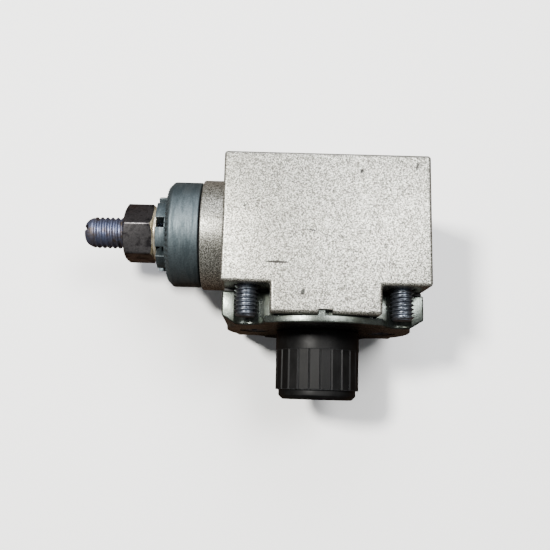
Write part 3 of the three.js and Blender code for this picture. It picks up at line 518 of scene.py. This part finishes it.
def plated(name, light, dark, metallic=1.0, rough=(0.28, 0.5), cloud_mm=2.5, grain_mm=0.25,
           bump_mm=0.01, turned_mm=0.0, edge=None, edge_mm=0.12, specks=None, grain_depth=0.35,
           specular=0.5, stretch=(1, 1, 1)):
    """A finish with a slow cloudy change between two tones, a fine grain, and where asked for
    fine turning lines, edges bared by wear or scattered dark specks."""
    material, tree = new_material(name)
    place = add(tree, "ShaderNodeTexCoord").outputs["Object"]
    drawn = add(tree, "ShaderNodeVectorMath", {0: place, 1: stretch}, operation="MULTIPLY")
    cloud = add(tree, "ShaderNodeTexNoise", {
        "Vector": drawn.outputs[0], "Scale": per_metre(cloud_mm), "Detail": 4.0,
        "Roughness": 0.6})
    grain = add(tree, "ShaderNodeTexNoise", {
        "Vector": place, "Scale": per_metre(grain_mm), "Detail": 2.0, "Roughness": 0.55})
    tone = add(tree, "ShaderNodeValToRGB", {"Fac": cloud.outputs["Fac"]}, stops=[
        (0.36, dark), (0.56, light)])
    fine = add(tree, "ShaderNodeMapRange", {
        "Value": grain.outputs["Fac"], "From Min": 0.3, "From Max": 0.7,
        "To Min": 1 - grain_depth, "To Max": 1.0})
    colour = add(tree, "ShaderNodeMix", {
        0: 1.0, 6: tone.outputs["Color"], 7: fine.outputs[0]},
        data_type="RGBA", blend_type="MULTIPLY").outputs[2]
    if specks:
        cells = add(tree, "ShaderNodeTexVoronoi", {"Vector": place, "Scale": per_metre(1.1)})
        spot = add(tree, "ShaderNodeMapRange", {
            "Value": cells.outputs["Distance"], "From Min": 0.24, "From Max": 0.12,
            "To Min": 0.0, "To Max": 0.8})
        patch = add(tree, "ShaderNodeMapRange", {
            "Value": cloud.outputs["Fac"], "From Min": 0.5, "From Max": 0.58})
        amount = add(tree, "ShaderNodeMath", {0: spot.outputs[0], 1: patch.outputs[0]},
                     operation="MULTIPLY")
        colour = add(tree, "ShaderNodeMix", {
            0: amount.outputs[0], 6: colour, 7: linear(specks)}, data_type="RGBA").outputs[2]
    height = grain.outputs["Fac"]
    if turned_mm:
        # Turning lines run round the shaft, so they repeat along X only.
        lines = add(tree, "ShaderNodeTexWave", {
            "Vector": place, "Scale": per_metre(turned_mm) / FULL, "Distortion": 1.5,
            "Detail": 2.0}, bands_direction="X")
        height = add(tree, "ShaderNodeMath", {0: height, 1: lines.outputs["Fac"]},
                     operation="ADD").outputs[0]
    soft = add(tree, "ShaderNodeBevel", {"Radius": edge_mm * MM}, samples=6)
    if edge:
        broken = add(tree, "ShaderNodeMath", {
            0: edge_wear_and_shade(tree, soft, 0.985, 0.9, 0.85), 1: grain.outputs["Fac"]},
            operation="MULTIPLY")
        colour = add(tree, "ShaderNodeMix", {
            0: broken.outputs[0], 6: colour, 7: linear(edge)}, data_type="RGBA").outputs[2]
    gloss = add(tree, "ShaderNodeMapRange", {
        "Value": cloud.outputs["Fac"], "From Min": 0.35, "From Max": 0.65,
        "To Min": rough[1], "To Max": rough[0]})
    bump = add(tree, "ShaderNodeBump", {
        "Height": height, "Strength": 0.6, "Distance": bump_mm * MM, "Normal": soft.outputs[0]})
    finish_with(tree, add(tree, "ShaderNodeBsdfPrincipled", {
        "Base Color": colour, "Metallic": metallic, "Roughness": gloss.outputs[0],
        "Specular IOR Level": specular, "Normal": bump.outputs[0]}))
    return material


def make_materials():
    """Every finish on the head, by the record's slot."""
    c = bpy.context.scene.head_finishes
    return {
        # Powder coat: sandy satin paint, silver-beige.
        "painted_casting": powder_coat(c),
        # Pressure die-cast zinc alloy, left bare: dull satin, cloudy, with dark pores.
        "raw_casting": plated("raw_zinc_die_casting", c.casting, "#41453F", 0.9, (0.24, 0.36),
                              cloud_mm=2.2, bump_mm=0.03, specks=c.casting_fleck),
        # Blue-passivated zinc plate on steel: cold blue-grey shine, duller in scattered patches.
        "zinc_steel": plated("blue_zinc_plated_steel", c.zinc, c.zinc_dark, 0.95, (0.3, 0.44),
                             cloud_mm=1.2, bump_mm=0.006),
        # The same plate on the stud, where it has yellowed and dulled with handling.
        "stud_steel": plated("worn_zinc_plated_stud", "#69708A", "#54493F", 0.9, (0.4, 0.54),
                             cloud_mm=2.2, bump_mm=0.006, edge="#A9A6A0"),
        # Thick matte zinc plate on a turned disc: soft streaky sheen with faint turning lines.
        "zinc_disc": plated("matte_zinc_plated_steel", c.disc, c.disc_dark, 0.85, (0.44, 0.6),
                            cloud_mm=2.0, bump_mm=0.012, turned_mm=0.25, edge="#B9C2C4",
                            stretch=(1.6, 0.35, 0.35)),
        # Steel blackened in oil: dark and glossy, with bare metal along the corners.
        "dark_steel": plated("oil_blackened_steel", c.nut, "#302E30", 1.0, (0.26, 0.42),
                             cloud_mm=1.8, bump_mm=0.008, edge=c.nut_edge),
        # Bright turned steel: clear warm reflections.
        "bright_steel": plated("bright_turned_steel", "#D8D1BC", "#A79E88", 0.7, (0.2, 0.32),
                               turned_mm=0.2),
        # Hardened spring steel: grey shine from the drawing die.
        "spring_steel": plated("drawn_spring_steel", "#8C8F92", "#63666A", 1.0, (0.25, 0.4)),
        # Sintered bronze: dull gold with open pores.
        "bronze": plated("sintered_bronze", "#B8894D", "#8A6232", 0.9, (0.4, 0.6),
                         specks="#3F2B14", bump_mm=0.02),
        # Glass-filled polyamide from a mould: black, satin, greyer where it is scuffed.
        "black_plastic": plated("moulded_black_polyamide", c.hub, "#0F0F0F", 0.0, (0.42, 0.56),
                                cloud_mm=3, grain_mm=0.3, bump_mm=0.012, edge=c.hub_edge,
                                edge_mm=0.09, specular=0.14),
        # Acetal: creamy white and waxy.
        "natural_plastic": plated("moulded_acetal", "#E2DCCB", "#D3CCB8", 0.0, (0.3, 0.4),
                                  grain_depth=0.06),
        # Nitrile rubber: soft dull black.
        "rubber": plated("nitrile_rubber", "#222222", "#181818", 0.0, (0.6, 0.75),
                         grain_depth=0.2),
    }


MATERIALS = {}


# ------------------------------------------------------------------ operators, one for each piece
class HEAD_OT_finishes(bpy.types.Operator):
    """Make every finish and put it on the CAD nodes that stay in view"""

    bl_idname = "head.finishes"
    bl_label = "Finishes"

    def execute(self, context):
        MATERIALS.update(make_materials())
        slots = {row["node"]: row["material_slot"] for row in frame["record"]["subparts"]}
        for name, made in frame["nodes"].items():
            made.data.materials.clear()
            made.data.materials.append(MATERIALS[slots[name]])
        return {"FINISHED"}


class HEAD_OT_housing(bpy.types.Operator):
    """Cast housing with its neck, corner notches, screw counterbores and hollow inside"""

    bl_idname = "head.housing"
    bl_label = "Housing"

    def execute(self, context):
        s = millimetres(context.scene.head_housing)
        screw = millimetres(context.scene.head_screws)
        half, deep = s.width / 2, s.depth / 2
        far = 40
        shell = block("housing_shell", (-half, half), (-s.skirt_drop, s.top_rise), (-deep, deep))
        skirt = half - s.notch_width
        side = deep - s.notch_depth
        combine(shell, [
            block("cut", (skirt, far), (-far, -s.ceiling_drop), (-far, far)),
            block("cut", (-far, -skirt), (-far, -s.ceiling_drop), (-far, far)),
            block("cut", (-far, far), (-far, -s.ceiling_drop), (-side, side)),
        ], "DIFFERENCE")
        rounded(shell, s.edge_radius, 5)
        combine(shell, [
            block("cut", (-1.3, 1.1), (-far, 0.75 - s.skirt_drop), (deep - s.wall - 1, far)),
        ], "DIFFERENCE")
        neck = turned("neck", eased([(0, half - 2), (s.neck_radius, half - 2),
                                     (s.neck_radius, s.neck_out), (0, s.neck_out)], 0.35),
                      SHAFT, 192)
        combine(shell, [neck], "UNION")
        bay, corner_wall, roof_wall = half - s.wall, 1.2, 2.25
        narrow = screw.pitch_x / 2 - s.counterbore - corner_wall
        narrow_z = screw.pitch_z / 2 - s.counterbore - corner_wall
        roof = s.top_rise - roof_wall
        combine(shell, [
            block("cut", (-bay, bay), (-far, roof), (-narrow_z, narrow_z)),
            block("cut", (-narrow, narrow), (-far, roof), (-bay, bay)),
            block("cut", (corner_wall - skirt, skirt - corner_wall), (-far, 1 - s.ceiling_drop),
                  (-bay, bay)),
        ], "DIFFERENCE")
        combine(shell, [
            turned("boss", [(0, 12.4), (8, 12.4), (8, half - 1), (0, half - 1)], SHAFT, 96),
            turned("boss", [(0, 1 - half), (5.6, 1 - half), (5.6, -10.9), (0, -10.9)], SHAFT, 96),
        ], "UNION")
        for sign in (-1, 1):
            inner, outer = 9.2, 12.35
            ends = sorted((sign * inner, sign * outer))
            wall_ends = sorted((sign * inner, sign * (bay + 0.5)))
            combine(shell, [
                block("pillar", ends, (-15.1, -6.6), (-2.6, 2.6)),
                block("pillar", wall_ends, (-s.ceiling_drop, -6.6), (-2.6, 2.6)),
            ], "UNION")
        combine(shell, [
            turned("cut", [(0, 11), (6.05, 11), (6.05, 20.3), (7.05, 20.3), (7.05, 21.7),
                           (7.35, 24), (0, 24)], SHAFT, 96),
            turned("cut", [(0, -bay), (4.05, -bay), (4.05, -9), (0, -9)], SHAFT, 96),
        ], "DIFFERENCE")
        for sx, sz in CORNERS:
            at = plunger_axis(sx * screw.pitch_x / 2, sz * screw.pitch_z / 2)
            bore = s.counterbore
            combine(shell, [turned("cut", [
                (0, -far), (bore + 0.35, -far), (bore + 0.35, -s.top_rise),
                (bore, 0.35 - s.top_rise), (bore, s.seat_drop), (2.2, s.seat_drop),
                (2.2, s.ceiling_drop - 0.2), (2.45, s.ceiling_drop + 0.1), (2.45, far), (0, far),
            ], at, 72)], "DIFFERENCE")
        for sign in (-1, 1):
            at = plunger_axis(sign * 11.8, 0)
            combine(shell, [turned("cut", [(0, 8.45), (1.55, 8.45), (1.55, far), (0, far)], at, 48)],
                    "DIFFERENCE")
        finished(shell, MATERIALS["painted_casting"], "housing", "head", 28)
        return {"FINISHED"}


class HEAD_OT_bottom_plate(bpy.types.Operator):
    """Cast bottom plate with its two lugs, round flange, locating tab and screw grooves"""

    bl_idname = "head.bottom_plate"
    bl_label = "Bottom Plate"

    def execute(self, context):
        s = millimetres(context.scene.head_plate)
        housing = millimetres(context.scene.head_housing)
        screw = millimetres(context.scene.head_screws)
        half, slope, wall = s.lug_half, 2.4, 2.2
        side = [(-half, -s.lug_top), (-half, -s.lug_drop), (slope - half, -s.drop),
                (half - slope, -s.drop), (half, -s.lug_drop), (half, -s.lug_top)]
        plate = prism("bottom_plate_casting", side, AXIS - s.lug_depth, 2 * s.lug_depth)
        rounded(plate, 0.3, 3)
        rim_top = housing.skirt_drop + 0.1
        slab_x = housing.width / 2 - housing.notch_width - 1.3
        slab_z = housing.depth / 2 - housing.wall - 0.1
        rim = turned("rim", eased([(0, rim_top), (s.rim_radius, rim_top),
                                   (s.rim_radius, s.drop), (0, s.drop)], 0.22),
                     plunger_axis(), 256)
        combine(plate, [
            rim,
            block("slab", (-slab_x, slab_x), (-rim_top - 0.2, -s.top_drop), (-slab_z, slab_z)),
            block("tab", (-1.2, -0.1), (-rim_top - 0.2, 0.65 - housing.skirt_drop),
                  (slab_z - 1, s.rim_radius - 0.12)),
        ], "UNION")
        bay_x, bay_z = half - wall - 0.6, s.lug_depth - wall
        combine(plate, [
            block("cut", (-bay_x, bay_x), (-s.top_drop, 0), (-bay_z, bay_z)),
            turned("cut", [(0, 0), (s.bore, 0), (s.bore, s.drop - 0.3), (s.bore + 0.3, s.drop),
                           (s.bore + 0.3, 30), (0, 30)], plunger_axis(), 128),
        ], "DIFFERENCE")
        for sx, sz in CORNERS:
            at = plunger_axis(sx * screw.pitch_x / 2, sz * screw.pitch_z / 2)
            combine(plate, [turned("cut", [
                (0, 0), (s.groove, 0), (s.groove, s.drop - 0.25), (s.groove + 0.25, s.drop),
                (s.groove + 0.25, 30), (0, 30)], at, 96)], "DIFFERENCE")
        for sign in (-1, 1):
            combine(plate, [turned("cut", [
                (0, 0), (1.6, 0), (1.6, 16.65), (2.8, 17.85), (2.8, 30), (0, 30)],
                plunger_axis(sign * 11.8, 0), 64)], "DIFFERENCE")
        finished(plate, MATERIALS["raw_casting"], "bottom_plate", "head")
        return {"FINISHED"}


class HEAD_OT_captive_screws(bpy.types.Operator):
    """Four slotted captive screws with real threads"""

    bl_idname = "head.captive_screws"
    bl_label = "Captive Screws"

    def execute(self, context):
        s = millimetres(context.scene.head_screws)
        top = s.head_drop - s.head_height
        begin, tip = s.head_drop + 0.8, s.tip_drop
        depth = 0.61 * s.thread_pitch
        slot_width, slot_depth = 1, 1.2

        def thread(r, d, a):
            if d < begin:
                return r, d
            groove = min(1, (d - begin) / s.thread_pitch) * depth
            return min(r, s.radius - thread_depth(d, a, s.thread_pitch, groove)), d

        head = eased([(0, top), (s.head_radius, top), (s.head_radius, s.head_drop),
                      (s.radius, s.head_drop)], 0.45)
        rows = round((tip - begin) / s.thread_pitch * 12)
        shank = []
        for i in range(rows + 1):
            d = begin + (tip - 0.02 - begin) * i / rows
            cone = s.radius - max(0, d - (tip - 0.55)) * 0.9
            shank.append((min(s.radius, cone), d))
        for i, (sx, sz) in enumerate(CORNERS):
            at = plunger_axis(sx * s.pitch_x / 2, sz * s.pitch_z / 2)
            name = f"captive_screw_{i + 1}_threaded"
            made = turned(name, head + shank + [(0, tip)], at, 48, thread)
            turn = math.radians(35 * sx + 20 * sz)
            size = Matrix.Diagonal((3 * s.head_radius, slot_width, 2 * slot_depth, 1))
            cutter = placed_cube("slot", at @ Matrix.Translation((0, 0, top))
                                 @ Matrix.Rotation(turn, 4, "Z") @ size)
            combine(made, [cutter], "DIFFERENCE")
            finished(made, MATERIALS["zinc_steel"], f"captive_screw_{i + 1}", "head")
        return {"FINISHED"}


class HEAD_OT_shaft(bpy.types.Operator):
    """Shaft with its journals, flats, clip grooves and threaded, slotted stud"""

    bl_idname = "head.shaft"
    bl_label = "Shaft"

    def execute(self, context):
        s = millimetres(context.scene.head_shaft)
        begin, tip = s.disc_face + 0.4, s.stud_tip
        depth = 0.3 * s.thread_pitch
        taper = 2.3

        def thread(r, d, a):
            if d < begin:
                return r, d
            groove = min(1, (d - begin) / s.thread_pitch) * depth
            root = s.stud_radius - thread_depth(d, a, s.thread_pitch, groove)
            left = max(0, min(1, (tip - d) / taper))
            return min(r, root + (1 - left) * 0.3), d

        body = eased([
            (0, -14.6), (2.5, -14.6), (2.5, -6.35), (2.1, -6.35), (2.1, -5.6), (2.5, -5.6),
            (2.5, 5.6), (4, 5.6), (4, 11.1), (3.55, 11.1), (3.55, 11.9), (4, 11.9),
            (4, 22.3), (3.5, 22.3), (3.5, s.disc_face - 0.1), (s.stud_radius, s.disc_face - 0.1),
        ], 0.15, steps=2)
        rows = round((tip - begin) / s.thread_pitch * 14)
        stud = []
        for i in range(rows + 1):
            d = begin + (tip - 0.05 - begin) * i / rows
            into = max(0, (d - (tip - taper)) / taper)
            stud.append((s.stud_radius - (s.stud_radius - s.tip_radius) * into ** 1.6
                         - 0.55 * into ** 8, d))
        made = turned("shaft_threaded", body + stud + [(0, tip)], SHAFT, 72, thread)
        combine(made, [block("flat", (-5.6, 5.6), (1.9, 6), (-6, 6))], "DIFFERENCE")
        turn = Matrix.Rotation(-math.radians(s.slot_turn), 4, "X")
        size = Matrix.Diagonal((2 * s.slot_depth, s.slot_width, 10, 1))
        combine(made, [placed_cube("slot", Matrix.Translation((-tip, 0, AXIS)) @ turn @ size)],
                "DIFFERENCE")
        finished(made, MATERIALS["stud_steel"], "shaft", "turning_shaft")
        return {"FINISHED"}


class HEAD_OT_serrated_disc(bpy.types.Operator):
    """Disc with radial teeth that hold the lever at its angle"""

    bl_idname = "head.serrated_disc"
    bl_label = "Serrated Disc"

    def execute(self, context):
        s = millimetres(context.scene.head_shaft)
        face, back, radius = s.disc_face, s.disc_back, s.disc_radius
        inner, valley = 5.4, 0.42

        def teeth(r, d, a):
            if d < face - 1e-4:
                return r, d
            phase = (a / FULL * s.teeth) % 1
            rise = min(1, max(0, 1.35 * abs(2 * phase - 1) - 0.1))
            return r, d - valley * (1 - rise)

        rim = eased([(3.55, back), (radius, back), (radius, face - 0.95), (radius - 0.95, face)],
                    0.3)
        crown = [(r, face) for r in (8.6, 7.8, 7.0, 6.2, inner)]
        floor = [(inner - 0.25, face - 0.42), (3.55, face - 0.42)]
        made = turned("serrated_disc_toothed", rim + crown + floor, SHAFT, s.teeth * 8, teeth,
                      closed=True)
        finished(made, MATERIALS["zinc_disc"], "serrated_disc", "turning_shaft", 24)
        return {"FINISHED"}


class HEAD_OT_lever_washer(bpy.types.Operator):
    """Castellated washer that spreads the nut's load over the lever"""

    bl_idname = "head.lever_washer"
    bl_label = "Lever Washer"

    def execute(self, context):
        s = millimetres(context.scene.head_shaft)
        start, end = s.disc_face + 0.05, s.disc_face + 2.0
        base = start + 0.3
        made = turned("lever_washer_castellated", eased([
            (3.1, start), (s.washer_radius, start), (s.washer_radius, end), (4.2, end),
            (4.2, base), (3.1, base)], 0.12, closed=True), SHAFT, 192, closed=True)
        half_gap = math.radians(s.castellation_gap) / 2
        for i in range(s.castellations):
            middle = math.radians(s.castellation_turn) + FULL * i / s.castellations
            wedge = [on_circle(r, middle + a) for r, a in (
                (3.2, -half_gap), (9, -half_gap), (9, half_gap), (3.2, half_gap))]
            combine(made, [prism("gap", wedge, base, 3, SHAFT)], "DIFFERENCE")
        finished(made, MATERIALS["zinc_disc"], "lever_washer", "turning_shaft")
        return {"FINISHED"}


class HEAD_OT_nut(bpy.types.Operator):
    """Hexagon nut with turned ends, and the plain washer under it"""

    bl_idname = "head.nut"
    bl_label = "Nut and Washer"

    def execute(self, context):
        s = millimetres(context.scene.head_shaft)
        start, end = s.nut_out, s.nut_out + s.nut_length
        corner = s.nut_flats / math.sqrt(3)
        phase = math.radians(s.nut_turn)
        hexagon = [on_circle(corner, phase + FULL * i / 6) for i in range(6)]
        nut = prism("hex_nut_chamfered", hexagon, start, s.nut_length, SHAFT)
        rounded(nut, 0.16, 2)
        flat, cone = s.nut_flats / 2 - 0.1, 1.0
        drop = cone * math.tan(math.radians(30))
        combine(nut, [turned("cone", [
            (0, start), (flat, start), (flat + cone, start + drop), (flat + cone, end - drop),
            (flat, end), (0, end)], SHAFT, 144)], "INTERSECT")
        combine(nut, [turned("bore", [
            (0, start - 1), (3.5, start - 1), (3.5, start), (3.05, start + 0.45),
            (3.05, end - 0.45), (3.5, end), (3.5, end + 1), (0, end + 1)], SHAFT, 96)],
            "DIFFERENCE")
        finished(nut, MATERIALS["dark_steel"], "hex_nut", "turning_shaft")
        # Painted highlight: the faces that turn towards the lever get the bright steel finish,
        # standing in for the light that falls on that end.
        nut.data.materials.append(MATERIALS["bright_steel"])
        for face in nut.data.polygons:
            if face.normal.x > 0.4:
                face.material_index = 1
        low, high = start - 0.65, start - 0.05
        washer = turned("nut_washer_turned", eased([
            (3.1, low), (5.3, low), (5.3, high), (3.1, high)], 0.2, closed=True),
            SHAFT, 144, closed=True)
        finished(washer, MATERIALS["bright_steel"], "nut_washer", "turning_shaft")
        return {"FINISHED"}


class HEAD_OT_selector_hub(bpy.types.Operator):
    """Black hub that turns to choose the head's working direction"""

    bl_idname = "head.selector_hub"
    bl_label = "Selector Hub"

    def execute(self, context):
        s = millimetres(context.scene.head_hub)
        step = FULL / s.ribs

        def ribs(r, d, a):
            if not s.ribs_from + 0.05 < d < s.ribs_to - 0.05 or r < 7:
                return r, d
            from_middle = (a % step) - step / 2
            flat = s.radius * math.cos(step / 2) / math.cos(from_middle)
            groove = max(0, abs(from_middle) / (step / 2) - 0.8) / 0.2
            return r - s.radius + flat - 0.2 * groove, d

        outside = [
            (5, 13), (6.5, 13), (6.5, 13.8), (5.95, 13.8), (5.95, 14.52), (6.5, 14.52),
            (6.5, 16.32), (5.7, 16.32), (5.7, 17.33), (6.5, 17.33), (6.5, s.shoulder_drop),
            (s.radius, s.shoulder_drop), (s.radius, s.ribs_from), (s.radius - 0.02, s.ribs_from + 0.1),
            (s.radius - 0.02, s.ribs_to - 0.1), (s.radius - 0.1, s.ribs_to),
            (s.end_radius, s.ribs_to + 0.04), (s.end_radius, s.end_drop - 0.75),
            (s.end_radius - 0.75, s.end_drop), (2.75, s.end_drop), (2.75, 28), (5, 28),
            (5, 21.45), (5.45, 21.45), (5.45, 20.85), (5, 20.85),
        ]
        made = turned("selector_hub_ribbed", eased(outside, 0.14, closed=True, steps=2),
                      plunger_axis(), s.ribs * 10, ribs, closed=True)
        combine(made, [
            block("key", (-0.5, 0.5), (-28.1, -21.6), (4.4, 5.3)),
            block("key", (-0.5, 0.5), (-28.1, -21.6), (-5.3, -4.4)),
        ], "UNION")
        finished(made, MATERIALS["black_plastic"], "selector_hub", "selector", 12)
        return {"FINISHED"}


class HEAD_OT_springs(bpy.types.Operator):
    """Coil springs behind the followers and the plunger"""

    bl_idname = "head.springs"
    bl_label = "Springs"

    def execute(self, context):
        s = millimetres(context.scene.head_springs)
        follower = (s.follower_radius, s.follower_wire, s.follower_turns, s.follower_top,
                    s.follower_bottom)
        plunger = (s.plunger_radius, s.plunger_wire, s.plunger_turns, s.plunger_top,
                   s.plunger_bottom)
        rows = (
            ("follower_spring_forward", follower, s.follower_place, "head", "forward_slider"),
            ("follower_spring_reverse", follower, -s.follower_place, "head", "reverse_slider"),
            ("plunger_spring", plunger, 0, "selector", "push_rod"),
        )
        for node, sizes, x, fixed, moving in rows:
            made = coil(f"{node}_coiled", *sizes, plunger_axis(x))
            made.data.materials.append(MATERIALS["spring_steel"])
            made.data.shade_smooth()
            made.data.set_sharp_from_angle(angle=math.radians(50))
            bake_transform(made)
            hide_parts(node)
        return {"FINISHED"}


class HEAD_OT_stage(bpy.types.Operator):
    """Pale floor, soft light and the camera"""

    bl_idname = "head.stage"
    bl_label = "Stage"

    def execute(self, context):
        scene = context.scene
        floor_bm = bmesh.new()
        bmesh.ops.create_grid(floor_bm, x_segments=2, y_segments=2, size=3000)
        floor = make_object("floor", floor_bm, Matrix.Translation((0, 0, -0.05)))
        material, tree = new_material("studio_floor")
        # Matte white board, which takes a soft shadow. The light it sends back up into the piece
        # is that of the brown bench top round it.
        board = add(tree, "ShaderNodeBsdfPrincipled", {
            "Base Color": linear(scene.head_finishes.floor), "Roughness": 0.9,
            "Specular IOR Level": 0.1})
        bench = add(tree, "ShaderNodeBsdfDiffuse", {"Color": linear("#3A2E26")})
        direct = add(tree, "ShaderNodeLightPath").outputs["Is Camera Ray"]
        finish_with(tree, add(tree, "ShaderNodeMixShader", {
            0: direct, 1: bench.outputs[0], 2: board.outputs[0]}))
        floor.data.materials.append(material)

        world = bpy.data.worlds.new("studio")
        world.use_nodes = True
        scene.world = world
        world.node_tree.nodes["Background"].inputs["Color"].default_value = linear("#E9EBEE")
        world.node_tree.nodes["Background"].inputs["Strength"].default_value = 0.18

        lights = (
            ("key", (-205, 65, 435), 60, 5.2, "#FFFDF8"),
            ("window", (20, 330, 330), 200, 1.3, "#F6F8FF"),
            ("overhead", (150, 115, 450), 180, 2.6, "#FFFFFF"),
        )
        for name, place, side, power, colour in lights:
            lamp = bpy.data.lights.new(name, "AREA")
            lamp.size = side * MM
            lamp.energy = power
            lamp.color = linear(colour)[:3]
            holder = bpy.data.objects.new(name, lamp)
            holder.location = Vector(place) * MM
            aim = Vector((0, -5, 15)) * MM - holder.location
            holder.rotation_euler = aim.to_track_quat("-Z", "Y").to_euler()
            scene.collection.objects.link(holder)

        camera = bpy.data.cameras.new("camera")
        camera.sensor_width = 36
        camera.lens = 42.79
        camera.shift_x = 0.0211
        camera.shift_y = 0.0073
        camera.clip_start = 0.005
        ahead = Vector((-0.00557, 0.17498, -0.98456)).normalized()
        right = ahead.cross(Vector((-0.02807, 0.98416, 0.17506))).normalized()
        up = right.cross(ahead)
        holder = bpy.data.objects.new("camera", camera)
        turn = Matrix((right, up, -ahead)).transposed().to_4x4()
        spot = Vector((-9.743, -29.996, 122.704 + AXIS)) * MM
        holder.matrix_world = Matrix.Translation(spot) @ turn
        scene.collection.objects.link(holder)
        scene.camera = holder
        return {"FINISHED"}


class HEAD_PT_panel(bpy.types.Panel):
    """Buttons for each piece of the switch head"""

    bl_idname = "HEAD_PT_panel"
    bl_label = "Switch Head"
    bl_space_type = "VIEW_3D"
    bl_region_type = "UI"
    bl_category = "Switch Head"

    def draw(self, context):
        for operator in OPERATORS:
            self.layout.operator(operator.bl_idname)


GROUPS = {
    "head_housing": HousingSizes,
    "head_plate": PlateSizes,
    "head_screws": ScrewSizes,
    "head_shaft": ShaftSizes,
    "head_hub": HubSizes,
    "head_springs": SpringSizes,
    "head_finishes": FinishColours,
}
OPERATORS = (
    HEAD_OT_finishes,
    HEAD_OT_housing,
    HEAD_OT_bottom_plate,
    HEAD_OT_captive_screws,
    HEAD_OT_shaft,
    HEAD_OT_serrated_disc,
    HEAD_OT_lever_washer,
    HEAD_OT_nut,
    HEAD_OT_selector_hub,
    HEAD_OT_springs,
    HEAD_OT_stage,
)


def register():
    for name, group in GROUPS.items():
        bpy.utils.register_class(group)
        setattr(bpy.types.Scene, name, bpy.props.PointerProperty(type=group))
    for cls in (*OPERATORS, HEAD_PT_panel):
        bpy.utils.register_class(cls)


def unregister():
    for cls in reversed((*OPERATORS, HEAD_PT_panel)):
        bpy.utils.unregister_class(cls)
    for name, group in GROUPS.items():
        delattr(bpy.types.Scene, name)
        bpy.utils.unregister_class(group)


def main():
    register()
    bpy.ops.head.finishes()
    bpy.ops.head.housing()
    bpy.ops.head.bottom_plate()
    bpy.ops.head.captive_screws()
    bpy.ops.head.shaft()
    bpy.ops.head.serrated_disc()
    bpy.ops.head.lever_washer()
    bpy.ops.head.nut()
    bpy.ops.head.selector_hub()
    bpy.ops.head.springs()
    bpy.ops.head.stage()


if __name__ == "__main__":
    main()
